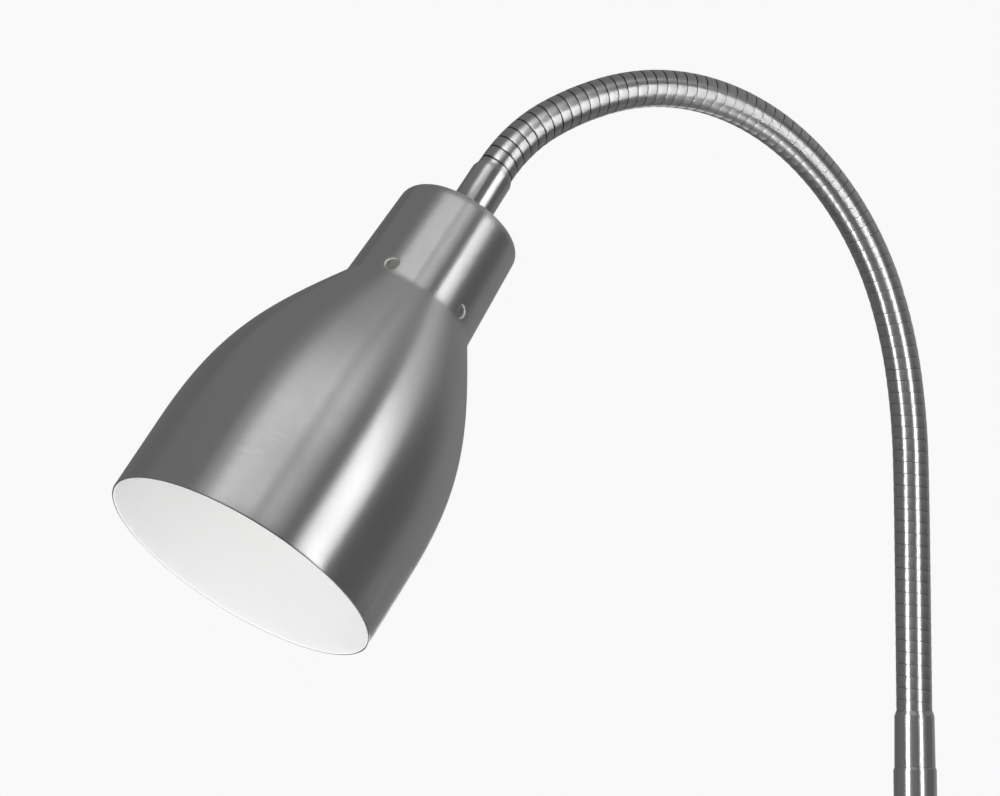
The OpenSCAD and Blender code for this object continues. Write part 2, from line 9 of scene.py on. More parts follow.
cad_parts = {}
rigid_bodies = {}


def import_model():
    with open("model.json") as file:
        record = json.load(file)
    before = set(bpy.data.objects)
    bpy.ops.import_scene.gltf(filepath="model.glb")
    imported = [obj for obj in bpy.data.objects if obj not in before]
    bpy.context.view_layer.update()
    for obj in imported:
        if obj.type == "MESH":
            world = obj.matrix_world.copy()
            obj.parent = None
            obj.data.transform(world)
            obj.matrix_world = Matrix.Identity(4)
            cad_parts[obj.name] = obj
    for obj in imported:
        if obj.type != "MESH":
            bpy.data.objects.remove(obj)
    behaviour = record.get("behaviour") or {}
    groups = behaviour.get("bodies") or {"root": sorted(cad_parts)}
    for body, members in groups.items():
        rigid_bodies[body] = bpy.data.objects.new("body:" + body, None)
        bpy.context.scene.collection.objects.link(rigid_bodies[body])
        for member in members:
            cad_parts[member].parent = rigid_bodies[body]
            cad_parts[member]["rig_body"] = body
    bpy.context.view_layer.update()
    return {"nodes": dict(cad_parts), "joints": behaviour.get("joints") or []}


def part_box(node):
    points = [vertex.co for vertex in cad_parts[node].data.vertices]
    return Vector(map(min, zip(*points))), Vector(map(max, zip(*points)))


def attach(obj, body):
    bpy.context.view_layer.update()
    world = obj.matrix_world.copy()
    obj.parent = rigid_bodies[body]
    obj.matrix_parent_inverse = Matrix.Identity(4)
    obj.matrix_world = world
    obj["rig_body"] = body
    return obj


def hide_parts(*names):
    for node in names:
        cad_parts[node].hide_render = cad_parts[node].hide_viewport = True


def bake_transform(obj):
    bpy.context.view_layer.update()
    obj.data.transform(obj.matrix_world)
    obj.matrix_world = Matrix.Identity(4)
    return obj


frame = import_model()
nodes = frame["nodes"]
MM = 0.001

# Gooseneck: its middle line is a chain of arcs, one for each stretch that the frame's joints turn
NECK_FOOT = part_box("neck_ferrule")[1].z
STRETCH = 31 * MM
BENDS = [math.radians(bend) for bend in (0, 0, 1, 8, 12, 16, 16, 18, 18, 18, 13, 24.5)]
NECK_LENGTH = STRETCH * len(BENDS)
STRETCH_BODIES = ["stand", *[f"neck_{k:02d}" for k in range(2, len(BENDS))], "head"]
TURNS_PER_STRETCH = 7
TURN_PITCH = STRETCH / TURNS_PER_STRETCH
TURN_D = 13.3 * MM
TURN_GAP = 0.07 * MM
TURN_CROWN = 0.06 * MM
# Along the arch the gaps between turns open, first on its outside and later on its inside too
SLACK_START = 165 * MM
SLACK_END = 345 * MM
OUTER_GAP = 0.42 * MM
INNER_GAP = 0.4 * MM
STRIP_THICKNESS = 1 * MM
STRIP_EDGE_R = 0.18 * MM
CORE_D = 12.94 * MM
STEPS_PER_TURN = 44
PATH_STEP = 1 * MM
WINDING_SHARP = 50
# Half a turn and this much more, in from each end of a run
STILL_MARGIN = 1.4 * MM
# With every joint at its upper limit, rounding throws a blend over this joint far off, so here the winding
# is split: two stiff halves turn on a ball, and their ends are cut back as far as the joint's travel needs
SPLIT_JOINT = 5
SPLIT_TRAVEL = next(j for j in frame["joints"] if j["name"] == f"neck_bend_{SPLIT_JOINT:02d}")["range_deg"]
SPLIT_ROOM = math.radians(0.5)
RIDGE_GAP = 0.08 * MM
BALL_SUNK = 0.1 * MM
BALL_R = TURN_D / 2 - BALL_SUNK
BALL_FACES = (48, 24)

# Shade, measured from its outer top face towards the mouth
FERRULE_LENGTH = 22 * MM
SHADE_LENGTH = 146 * MM
SHADE_WALL = 0.8 * MM
MOUTH_R = 48 * MM
THROAT_TOP_R = 22.3 * MM
THROAT_ROOT_R = 23.9 * MM
THROAT_LENGTH = 39.5 * MM
THROAT_CORNER_R = 4.5 * MM
CREASE_REACH = 1.4 * MM
SKIRT_LENGTH = 28 * MM
FLARE_ANGLE = math.radians(30)
FLARE_REACH = 33 * MM
SKIRT_REACH = 34 * MM
NIPPLE_HOLE_R = 5.2 * MM
VENTS = 5
VENT_R = 2.4 * MM
VENT_RISE = 3.2 * MM
VENT_HEIGHT = THROAT_LENGTH - VENT_RISE
VENT_EDGE_R = 0.3 * MM
# The shade's grid: a vent takes over a square patch of cells, and rings of faces lead from it to the hole
SHADE_COLUMNS = 200
SHADE_ROWS = {"top": 5, "corner": 8, "throat": 6, "crease": 3, "bell": 40, "skirt": 8}
SHADE_SHARP = 40
VENT_CELLS = 8
VENT_ROOM = 3.1 * MM
VENT_ROUNDING = (0.35, 0.7, 1)
VENT_COLUMNS = [SHADE_COLUMNS // 2 + k * SHADE_COLUMNS // VENTS for k in range(VENTS)]
VENT_EDGE_STEPS = 4
# Faces over the lip, and how many of them are bare metal before the enamel begins just inside its crown
LIP_STEPS = 12
LIP_METAL_STEPS = 7

# View of the photograph: the gooseneck's foot lies at this pixel, at this distance along the view
IMAGE_SIZE = (1000, 796)
FOOT_PIXEL = (914.3, 711)
VIEW_AZIMUTH = math.radians(-33.5)
VIEW_ELEVATION = math.radians(-5)
VIEW_DEPTH = 1.1
LENS_MM = 106.5
SENSOR_MM = 36


def neck_at(along):
    """Point on the gooseneck's middle line, and the line's heading there, at a length from its foot."""
    point = Vector((0, 0, NECK_FOOT))
    heading = 0
    inside = min(max(along, 0), NECK_LENGTH)
    beyond = along - inside
    for bend in BENDS:
        step = min(inside, STRETCH)
        turn = bend * step / STRETCH
        chord = step if turn == 0 else 2 * step / turn * math.sin(turn / 2)
        point += chord * way(heading + turn / 2)
        heading += turn
        inside -= step
    return point + beyond * way(heading), heading


def way(heading):
    """Direction in the plane of the arch: up at first, and towards -X as the heading grows."""
    return Vector((-math.sin(heading), 0, math.cos(heading)))


NECK_END, HEAD_HEADING = neck_at(NECK_LENGTH)
HEAD_AXIS = way(HEAD_HEADING)
SHADE_SEAT = NECK_END + FERRULE_LENGTH * HEAD_AXIS
SHADE_PLACE = Matrix.Translation(SHADE_SEAT) @ Matrix.Rotation(-HEAD_HEADING, 4, "Y")
LAMP_FOOT = Vector((0, 0, 0))
DOWN = Vector((0, 0, -1))
SWITCH_MIDDLE = sum(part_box("switch_button"), Vector((0, 0, 0))) / 2


# Helpers


def linear(hex_colour):
    """Linear colour of an sRGB hex value."""
    parts = [int(hex_colour[i:i + 2], 16) / 255 for i in (1, 3, 5)]
    return (*[c / 12.92 if c <= 0.04045 else ((c + 0.055) / 1.055) ** 2.4 for c in parts], 1)


def add(tree, kind, inputs=None, **settings):
    """Adds a node with its settings; an input, by name or number, takes a value or a node's output."""
    node = tree.nodes.new(kind)
    for name, value in settings.items():
        setattr(node, name, value)
    for key, value in (inputs or {}).items():
        if isinstance(value, bpy.types.NodeSocket):
            tree.links.new(value, node.inputs[key])
        else:
            node.inputs[key].default_value = value
    return node


def finish(name, colour, **sockets):
    """A material with one Principled shader; sockets that are the same all over are set on the shader."""
    material = bpy.data.materials.new(name)
    material.use_nodes = True
    shader = material.node_tree.nodes["Principled BSDF"]
    shader.inputs["Base Color"].default_value = linear(colour)
    for socket, value in sockets.items():
        shader.inputs[socket.replace("_", " ")].default_value = value
    return material, material.node_tree, shader


def new_object(name, mesh):
    piece = bpy.data.objects.new(name, mesh)
    bpy.context.scene.collection.objects.link(piece)
    return piece


def smooth(mesh, sharp_angle):
    """Outward faces, shaded smooth up to an edge angle in degrees."""
    work = bmesh.new()
    work.from_mesh(mesh)
    bmesh.ops.recalc_face_normals(work, faces=work.faces)
    work.to_mesh(mesh)
    work.free()
    mesh.shade_smooth()
    mesh.set_sharp_from_angle(angle=math.radians(sharp_angle))


def as_mesh(host, name):
    """The shape that an object's modifiers give, as a plain mesh; the object goes."""
    evaluated = host.evaluated_get(bpy.context.evaluated_depsgraph_get())
    mesh = bpy.data.meshes.new_from_object(evaluated)
    bpy.data.objects.remove(host)
    mesh.name = name
    return mesh


# Materials


# Brushed metal: a highlight drawn out square to the brushing
BRUSHED = {"Metallic": 1, "Anisotropic": 0.97, "Anisotropic_Rotation": 0.25}
# Most of a noise lies between these values
NOISE_SPAN = {"From Min": 0.3, "From Max": 0.7}


def satin_nickel(name, seat, axis, roughness):
    """Nickel plate on turned or spun steel: rings of fine brushing draw its highlights out along the axis.

    Real brushing is under 0.1 mm wide; the rings here are coarser, so that they show in the render.
    """
    ring_spacing = 0.36 * MM
    streaks_round = 9
    cloud_size = 22 * MM
    brushing_scatter = 0.03
    cloud_scatter = 0.06
    relief = 0.02 * MM
    material, tree, shader = finish(name, "#BDBDBD", **BRUSHED)
    place = add(tree, "ShaderNodeTexCoord").outputs["Object"]
    arm = add(tree, "ShaderNodeVectorMath", {0: place, 1: seat}, operation="SUBTRACT").outputs[0]
    along = add(tree, "ShaderNodeVectorMath", {0: arm, 1: axis}, operation="DOT_PRODUCT").outputs["Value"]
    lay = add(tree, "ShaderNodeVectorMath", {0: axis, 1: arm}, operation="CROSS_PRODUCT").outputs[0]
    out = add(tree, "ShaderNodeVectorMath", {0: lay}, operation="LENGTH").outputs["Value"]
    lay = add(tree, "ShaderNodeVectorMath", {0: lay}, operation="NORMALIZE").outputs[0]
    rings = add(tree, "ShaderNodeMath", {0: along, 1: out}, operation="ADD").outputs[0]
    rings = add(tree, "ShaderNodeMath", {0: rings, 1: 1 / ring_spacing}, operation="MULTIPLY").outputs[0]
    rings = add(tree, "ShaderNodeVectorMath", {0: axis, "Scale": rings}, operation="SCALE").outputs[0]
    streaks = add(
        tree, "ShaderNodeVectorMath", {0: lay, "Scale": streaks_round}, operation="SCALE"
    ).outputs[0]
    brushed = add(tree, "ShaderNodeVectorMath", {0: rings, 1: streaks}, operation="ADD").outputs[0]
    grain = add(tree, "ShaderNodeTexNoise", {"Vector": brushed, "Scale": 1, "Detail": 3}).outputs["Fac"]
    cloud = add(
        tree, "ShaderNodeTexNoise", {"Vector": place, "Scale": 1 / cloud_size, "Detail": 2}
    ).outputs["Fac"]
    tone = add(
        tree, "ShaderNodeMix", {0: grain, 6: linear("#B8B8B8"), 7: linear("#C3C3C3")}, data_type="RGBA"
    ).outputs[2]
    smoothest = roughness - brushing_scatter
    roughest = roughness + brushing_scatter
    rough = add(
        tree, "ShaderNodeMapRange", {"Value": grain, **NOISE_SPAN, "To Min": smoothest, "To Max": roughest}
    ).outputs[0]
    rough = add(
        tree, "ShaderNodeMath", {0: cloud, 1: cloud_scatter, 2: rough}, operation="MULTIPLY_ADD"
    ).outputs[0]
    bump = add(tree, "ShaderNodeBump", {"Height": grain, "Strength": 0.12, "Distance": relief}).outputs[0]
    turned = add(
        tree, "ShaderNodeVectorTransform", {0: lay},
        vector_type="VECTOR", convert_from="OBJECT", convert_to="WORLD",
    ).outputs[0]
    tree.links.new(tone, shader.inputs["Base Color"])
    tree.links.new(rough, shader.inputs["Roughness"])
    tree.links.new(bump, shader.inputs["Normal"])
    tree.links.new(turned, shader.inputs["Tangent"])
    return material


def wound_nickel():
    """Wound nickel-plated steel strip: bright on its crown, dull in the grooves, with painted shade there.
    """
    # Depths below the crown over which the painted shade of the grooves comes in
    groove_start = 0.1 * MM
    groove_floor = 0.18 * MM
    crown_roughness = 0.42
    groove_roughness = 0.6
    cloud_size = 3 * MM
    relief = 0.03 * MM
    material, tree, shader = finish("wound_nickel_strip", "#BDBDBD", **BRUSHED)
    depth = add(tree, "ShaderNodeAttribute", attribute_name="depth").outputs["Fac"]
    lay = add(tree, "ShaderNodeAttribute", attribute_name="lay").outputs["Vector"]
    place = add(tree, "ShaderNodeTexCoord").outputs["Object"]
    # Painted shade: towards the groove floor the colour darkens to #7C7C7C and the strip grows rougher
    groove_shade = add(
        tree, "ShaderNodeMapRange", {"Value": depth, "From Min": groove_start, "From Max": groove_floor}
    ).outputs[0]
    cloud = add(
        tree, "ShaderNodeTexNoise", {"Vector": place, "Scale": 1 / cloud_size, "Detail": 3}
    ).outputs["Fac"]
    unshaded_tone = add(
        tree, "ShaderNodeMix", {0: cloud, 6: linear("#B2B2B2"), 7: linear("#C6C6C6")}, data_type="RGBA"
    ).outputs[2]
    tone = add(
        tree, "ShaderNodeMix", {0: groove_shade, 6: unshaded_tone, 7: linear("#7C7C7C")}, data_type="RGBA"
    ).outputs[2]
    rough = add(
        tree, "ShaderNodeMapRange",
        {"Value": groove_shade, "To Min": crown_roughness, "To Max": groove_roughness},
    ).outputs[0]
    bump = add(tree, "ShaderNodeBump", {"Height": cloud, "Strength": 0.05, "Distance": relief}).outputs[0]
    tree.links.new(tone, shader.inputs["Base Color"])
    tree.links.new(rough, shader.inputs["Roughness"])
    tree.links.new(bump, shader.inputs["Normal"])
    tree.links.new(lay, shader.inputs["Tangent"])
    return material


def grained(name, colours, grain_mm, bump_strength, bump_mm, roughness, **sockets):
    """A material whose colour, roughness and relief follow one grain of a real size."""
    material, tree, shader = finish(name, colours[0], **sockets)
    place = add(tree, "ShaderNodeTexCoord").outputs["Object"]
    grain = add(
        tree, "ShaderNodeTexNoise",
        {"Vector": place, "Scale": 1 / (grain_mm * MM), "Detail": 4, "Roughness": 0.6},
    ).outputs["Fac"]
    tone = add(
        tree, "ShaderNodeMix", {0: grain, 6: linear(colours[0]), 7: linear(colours[1])}, data_type="RGBA"
    ).outputs[2]
    smoothest, roughest = roughness
    rough = add(
        tree, "ShaderNodeMapRange", {"Value": grain, "To Min": smoothest, "To Max": roughest}
    ).outputs[0]
    bump = add(
        tree, "ShaderNodeBump", {"Height": grain, "Strength": bump_strength, "Distance": bump_mm * MM}
    ).outputs[0]
    tree.links.new(tone, shader.inputs["Base Color"])
    tree.links.new(rough, shader.inputs["Roughness"])
    tree.links.new(bump, shader.inputs["Normal"])
    return material


POLE_NICKEL = satin_nickel("satin_nickel_turned", LAMP_FOOT, DOWN, 0.34)
SWITCH_NICKEL = satin_nickel("satin_nickel_switch", SWITCH_MIDDLE, DOWN, 0.34)
HEAD_NICKEL = satin_nickel("satin_nickel_spun", SHADE_SEAT, HEAD_AXIS, 0.3)
STRIP_NICKEL = wound_nickel()
# Stoved white enamel: even and slightly waxy, with the faint orange peel of a sprayed coat
WHITE_ENAMEL = grained("white_enamel", ("#F5F5F5", "#F9F9F9"), 1.4, 0.08, 0.02, (0.32, 0.42))
# Opal glass: milky white all through, with a smooth fired surface
OPAL_GLASS = grained("opal_glass", ("#F4F1EA", "#F8F6F1"), 9, 0.02, 0.05, (0.14, 0.2))
# Urea moulding: warm ivory, semi-matt, with slight flow marks
IVORY_UREA = grained("ivory_urea", ("#E9E6DE", "#F0EEE8"), 5, 0.05, 0.02, (0.38, 0.48))
# Moulded ABS: black, finely textured by the tool
BLACK_ABS = grained("black_abs", ("#161616", "#1E1E1E"), 0.5, 0.25, 0.03, (0.42, 0.55))
# Sand-cast iron: dark, dry and pitted
CAST_IRON = grained("cast_iron", ("#2E2D2C", "#454342"), 1.1, 0.6, 0.25, (0.6, 0.8), Metallic=0.7)
# Zinc-plated steel: cool and slightly mottled by the bath
ZINC_STEEL = grained("zinc_plated_steel", ("#A4A8AC", "#BCC0C3"), 2.5, 0.08, 0.02, (0.28, 0.4), Metallic=1)
# Brass strip, as stamped
BRASS = grained("stamped_brass", ("#B08D4A", "#C7A562"), 2, 0.06, 0.02, (0.25, 0.36), Metallic=1)
# Closed-cell foam: soft black with open pores at the cut face
EVA_FOAM = grained("eva_foam", ("#1B1B1C", "#2A2A2B"), 0.8, 0.7, 0.3, (0.85, 0.95))

NODE_FINISHES = {
    POLE_NICKEL: [
        "base_cover", "base_collar", "pole_lower", "pole_middle", "pole_upper", "neck_ferrule",
    ],
    SWITCH_NICKEL: ["switch_nut", "switch_button"],
    HEAD_NICKEL: ["head_ferrule"],
    ZINC_STEEL: [
        "base_stud", "base_washer", "base_nut", "pole_couplers", "pole_bush",
        "head_nipple", "lock_washer", "bulb_cap",
    ],
    BRASS: ["lock_nut", "holder_thread", "holder_contacts", "holder_screws"],
    IVORY_UREA: ["holder_cap", "holder_body"],
    BLACK_ABS: ["cord_gland", "switch_body"],
    CAST_IRON: ["base_weight"],
    EVA_FOAM: ["base_pad"],
    OPAL_GLASS: ["bulb_globe"],
}
for material, names in NODE_FINISHES.items():
    for name in names:
        nodes[name].material_slots[0].material = material


# Turned and moulded pieces: how far the edges of each are rounded off, in millimetres
EASED_EDGES = {
    "base_cover": 0.2, "base_collar": 0.4, "switch_nut": 0.25, "switch_button": 0.3, "cord_gland": 0.3,
    "pole_lower": 0.12, "pole_middle": 0.12, "pole_upper": 0.12, "neck_ferrule": 0.12, "head_ferrule": 0.12,
    "holder_cap": 0.4, "holder_body": 0.4, "bulb_cap": 0.2, "bulb_globe": 0.2,
}
EASED_SHARP = 40
EASED_SEGMENTS = 3
SAME_POINT = 0.002 * MM
FLAT_ANGLE = math.radians(0.5)


def eased(name, radius):
    """A copy of a CAD node with its edges rounded off a little and its curved faces shaded smooth."""
    node = nodes[name]
    mesh = bpy.data.meshes.new(name + "_bare")
    mesh.from_pydata([v.co for v in node.data.vertices], [], [p.vertices for p in node.data.polygons])
    work = bmesh.new()
    work.from_mesh(mesh)
    bmesh.ops.remove_doubles(work, verts=work.verts, dist=SAME_POINT)
    bmesh.ops.dissolve_limit(work, angle_limit=FLAT_ANGLE, verts=work.verts, edges=work.edges)
    work.to_mesh(mesh)
    work.free()
    mesh.materials.append(node.material_slots[0].material)
    smooth(mesh, EASED_SHARP)
    host = new_object(name + "_host", mesh)
    bevel = host.modifiers.new("edges", "BEVEL")
    bevel.width = radius * MM
    bevel.segments = EASED_SEGMENTS
    bevel.angle_limit = math.radians(EASED_SHARP)
    host.modifiers.new("normals", "WEIGHTED_NORMAL").keep_sharp = True
    piece = new_object(name + "_eased", as_mesh(host, name + "_eased"))
    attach(piece, node["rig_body"])
    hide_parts(name)
    return piece


EASED = {name: eased(name, radius) for name, radius in EASED_EDGES.items()}


# Gooseneck


def kept_width(tree, given, path, along, cosine, lean, width):
    """Share of its width that a turn keeps in a bend, and where the gaps open along the arch."""
    # Shares of the slack at which the gap outside is fully open, and at which the gap inside begins to open
    outer_open = 0.65
    inner_start = 0.5
    # Between these cosines of its angle round the path, a turn goes from the inside gap to the outside gap
    inner_cosine = 0.1
    outer_cosine = -0.5
    drawn_in = add(tree, "ShaderNodeMath", {0: lean, 1: given["Pitch"]}, operation="MULTIPLY").outputs[0]
    slack = add(
        tree, "GeometryNodeInputNamedAttribute", {"Name": "slack"}, data_type="FLOAT"
    ).outputs[0]
    slack = add(
        tree, "GeometryNodeSampleCurve", {"Curves": path, "Value": slack, "Length": along},
        mode="LENGTH", data_type="FLOAT",
    ).outputs["Value"]
    outer = add(
        tree, "ShaderNodeMapRange", {"Value": slack, "From Max": outer_open, "To Max": given["Outer Gap"]}
    ).outputs[0]
    inner = add(
        tree, "ShaderNodeMapRange",
        {"Value": slack, "From Min": inner_start, "To Max": given["Inner Gap"]},
    ).outputs[0]
    opened = add(
        tree, "ShaderNodeMapRange",
        {
            "Value": cosine, "From Min": inner_cosine, "From Max": outer_cosine,
            "To Min": inner, "To Max": outer,
        },
        interpolation_type="SMOOTHSTEP",
    ).outputs[0]
    drawn_in = add(tree, "ShaderNodeMath", {0: opened, 1: drawn_in}, operation="ADD").outputs[0]
    narrowed = add(tree, "ShaderNodeMath", {0: width, 1: drawn_in}, operation="SUBTRACT").outputs[0]
    return add(tree, "ShaderNodeMath", {0: narrowed, 1: width}, operation="DIVIDE").outputs[0]


def strip_rail(tree, given, path, radius, width):
    """The strip's middle line: a helix with its turns spaced along the path, and the width each keeps."""
    count = add(
        tree, "ShaderNodeMath",
        {0: given["Turns"], 1: given["Steps per Turn"], 2: 1}, operation="MULTIPLY_ADD",
    ).outputs[0]
    bare = add(tree, "GeometryNodeCurvePrimitiveLine").outputs[0]
    bare = add(tree, "GeometryNodeResampleCurve", {"Curve": bare, "Count": count}, mode="COUNT").outputs[0]
    index = add(tree, "GeometryNodeInputIndex").outputs[0]
    turn = add(
        tree, "ShaderNodeMath", {0: index, 1: given["Steps per Turn"]}, operation="DIVIDE"
    ).outputs[0]
    turn = add(tree, "ShaderNodeMath", {0: turn, 1: given["First Turn"]}, operation="ADD").outputs[0]
    middle = add(tree, "ShaderNodeMath", {0: turn, 1: 0.5}, operation="ADD").outputs[0]
    along = add(
        tree, "ShaderNodeMath",
        {0: middle, 1: given["Pitch"], 2: given["Lead-in"]}, operation="MULTIPLY_ADD",
    ).outputs[0]
    curving = add(
        tree, "GeometryNodeInputNamedAttribute", {"Name": "curvature"}, data_type="FLOAT"
    ).outputs[0]
    sample = add(
        tree, "GeometryNodeSampleCurve", {"Curves": path, "Value": curving, "Length": along},
        mode="LENGTH", data_type="FLOAT",
    ).outputs
    angle = add(tree, "ShaderNodeMath", {0: turn, 1: math.tau}, operation="MULTIPLY").outputs[0]
    across = add(
        tree, "ShaderNodeVectorMath", {0: sample["Tangent"], 1: (0, 1, 0)}, operation="CROSS_PRODUCT"
    ).outputs[0]
    cosine = add(tree, "ShaderNodeMath", {0: angle}, operation="COSINE").outputs[0]
    sine = add(tree, "ShaderNodeMath", {0: angle}, operation="SINE").outputs[0]
    across = add(tree, "ShaderNodeVectorMath", {0: across, "Scale": cosine}, operation="SCALE").outputs[0]
    beside = add(
        tree, "ShaderNodeVectorMath", {0: (0, 1, 0), "Scale": sine}, operation="SCALE"
    ).outputs[0]
    outward = add(tree, "ShaderNodeVectorMath", {0: across, 1: beside}, operation="ADD").outputs[0]
    point = add(
        tree, "ShaderNodeVectorMath",
        {0: outward, 1: radius, 2: sample["Position"]}, operation="MULTIPLY_ADD",
    ).outputs[0]
    lean = add(tree, "ShaderNodeMath", {0: sample["Value"], 1: radius}, operation="MULTIPLY").outputs[0]
    lean = add(tree, "ShaderNodeMath", {0: lean, 1: cosine}, operation="MULTIPLY").outputs[0]
    narrowed = kept_width(tree, given, path, along, cosine, lean, width)
    bare = add(tree, "GeometryNodeSetCurveRadius", {0: bare, "Radius": narrowed}).outputs[0]
    rail = add(tree, "GeometryNodeSetPosition", {0: bare, "Position": point}).outputs[0]
    rail = add(tree, "GeometryNodeSetCurveNormal", {0: rail, "Normal": outward}, mode="FREE").outputs[0]
    tangent = add(tree, "GeometryNodeInputTangent").outputs[0]
    return add(
        tree, "GeometryNodeStoreNamedAttribute", {0: rail, "Name": "lay", "Value": tangent},
        data_type="FLOAT_VECTOR", domain="POINT",
    ).outputs[0]


def strip_section(tree, given, width):
    """The strip's section: a rounded bar whose middle is crowned, with its top at the turn's radius."""
    edge_steps = 3
    section = add(
        tree, "GeometryNodeCurvePrimitiveQuadrilateral",
        {"Width": given["Thickness"], "Height": width}, mode="RECTANGLE",
    ).outputs[0]
    section = add(
        tree, "GeometryNodeFilletCurve",
        {"Curve": section, "Count": edge_steps, "Radius": given["Edge Radius"]}, mode="POLY",
    ).outputs[0]
    section = add(tree, "GeometryNodeSubdivideCurve", {"Curve": section, "Cuts": 1}).outputs[0]
    corner = add(
        tree, "ShaderNodeSeparateXYZ", {0: add(tree, "GeometryNodeInputPosition").outputs[0]}
    ).outputs
    # The crown falls with the square of the distance from the middle, and in full at half the width
    share = add(tree, "ShaderNodeMath", {0: corner["Y"], 1: width}, operation="DIVIDE").outputs[0]
    share = add(tree, "ShaderNodeMath", {0: share, 1: share}, operation="MULTIPLY").outputs[0]
    drop = add(tree, "ShaderNodeMath", {0: share, 1: 4}, operation="MULTIPLY").outputs[0]
    drop = add(tree, "ShaderNodeMath", {0: drop, 1: given["Crown"]}, operation="MULTIPLY").outputs[0]
    drop = add(
        tree, "ShaderNodeMath", {0: given["Thickness"], 1: 0.5, 2: drop}, operation="MULTIPLY_ADD"
    ).outputs[0]
    depth = add(tree, "ShaderNodeMath", {0: drop, 1: corner["X"]}, operation="SUBTRACT").outputs[0]
    # Depth below the crown, which sets the painted shade in the grooves
    section = add(
        tree, "GeometryNodeStoreNamedAttribute", {0: section, "Name": "depth", "Value": depth},
        data_type="FLOAT", domain="POINT",
    ).outputs[0]
    drop = add(tree, "ShaderNodeMath", {0: drop, 1: -1}, operation="MULTIPLY").outputs[0]
    inward = add(tree, "ShaderNodeCombineXYZ", {"X": drop}).outputs[0]
    return add(tree, "GeometryNodeSetPosition", {0: section, "Offset": inward}).outputs[0]


def bare_core(tree, given, path, radius):
    """The core that shows as the floor of the grooves."""
    core_faces = 32
    start = add(
        tree, "ShaderNodeMath", {0: given["Core Start"], 1: given["Lead-in"]}, operation="ADD"
    ).outputs[0]
    end = add(
        tree, "ShaderNodeMath", {0: given["Core End"], 1: given["Lead-in"]}, operation="ADD"
    ).outputs[0]
    core = add(tree, "GeometryNodeTrimCurve", {"Curve": path, 4: start, 5: end}, mode="LENGTH").outputs[0]
    core_r = add(
        tree, "ShaderNodeMath", {0: given["Core Diameter"], 1: 0.5}, operation="MULTIPLY"
    ).outputs[0]
    ring = add(
        tree, "GeometryNodeCurvePrimitiveCircle",
        {"Resolution": core_faces, "Radius": core_r}, mode="RADIUS",
    ).outputs[0]
    core = add(
        tree, "GeometryNodeCurveToMesh", {"Curve": core, "Profile Curve": ring, "Fill Caps": True}
    ).outputs[0]
    # The core lies at the groove floor's depth, so it takes the full painted shade
    floor_depth = add(tree, "ShaderNodeMath", {0: radius, 1: core_r}, operation="SUBTRACT").outputs[0]
    return add(
        tree, "GeometryNodeStoreNamedAttribute", {0: core, "Name": "depth", "Value": floor_depth},
        data_type="FLOAT", domain="POINT",
    ).outputs[0]


def wound_strip_tree():
    """Geometry Nodes: a crowned strip wound on a bare core, both along the path that comes in as edges."""
    tree = bpy.data.node_groups.new("Wound strip on a path", "GeometryNodeTree")
    tree.interface.new_socket("Geometry", in_out="INPUT", socket_type="NodeSocketGeometry")
    for name in (
        "Lead-in", "Pitch", "Turn Diameter", "Gap", "Outer Gap", "Inner Gap", "Crown", "Thickness",
        "Edge Radius", "Core Diameter", "First Turn", "Turns", "Core Start", "Core End",
    ):
        tree.interface.new_socket(name, in_out="INPUT", socket_type="NodeSocketFloat")
    tree.interface.new_socket("Steps per Turn", in_out="INPUT", socket_type="NodeSocketInt")
    tree.interface.new_socket("Material", in_out="INPUT", socket_type="NodeSocketMaterial")
    tree.interface.new_socket("Geometry", in_out="OUTPUT", socket_type="NodeSocketGeometry")
    given = add(tree, "NodeGroupInput").outputs
    path = add(tree, "GeometryNodeMeshToCurve", {0: given["Geometry"]}).outputs[0]
    radius = add(
        tree, "ShaderNodeMath", {0: given["Turn Diameter"], 1: 0.5}, operation="MULTIPLY"
    ).outputs[0]
    width = add(
        tree, "ShaderNodeMath", {0: given["Pitch"], 1: given["Gap"]}, operation="SUBTRACT"
    ).outputs[0]
    rail = strip_rail(tree, given, path, radius, width)
    section = strip_section(tree, given, width)
    scale = add(tree, "GeometryNodeInputRadius").outputs[0]
    strip = add(
        tree, "GeometryNodeCurveToMesh",
        {"Curve": rail, "Profile Curve": section, "Scale": scale, "Fill Caps": True},
    ).outputs[0]
    core = bare_core(tree, given, path, radius)
    joined = add(tree, "GeometryNodeJoinGeometry")
    tree.links.new(core, joined.inputs[0])
    tree.links.new(strip, joined.inputs[0])
    whole = add(tree, "GeometryNodeRealizeInstances", {0: joined.outputs[0]}).outputs[0]
    whole = add(tree, "GeometryNodeSetMaterial", {0: whole, "Material": given["Material"]}).outputs[0]
    add(tree, "NodeGroupOutput", {0: whole})
    return tree


def path_mesh(lead_in):
    """The gooseneck's middle line as a chain of edges, run straight on past both ends."""
    count = math.ceil((NECK_LENGTH + 2 * lead_in) / PATH_STEP)
    alongs = [-lead_in + i * (NECK_LENGTH + 2 * lead_in) / count for i in range(count + 1)]
    mesh = bpy.data.meshes.new("gooseneck_path")
    mesh.from_pydata([neck_at(along)[0] for along in alongs], [(i, i + 1) for i in range(count)], [])
    curvature = mesh.attributes.new("curvature", "FLOAT", "POINT")
    slack = mesh.attributes.new("slack", "FLOAT", "POINT")
    for i, along in enumerate(alongs):
        turned = neck_at(along + PATH_STEP)[1] - neck_at(along - PATH_STEP)[1]
        curvature.data[i].value = turned / (2 * PATH_STEP)
        slack.data[i].value = min(max((along - SLACK_START) / (SLACK_END - SLACK_START), 0), 1)
    return mesh


def turn_middle(turn):
    """Length from the gooseneck's foot to the middle of a turn."""
    return (turn + 0.5) * TURN_PITCH


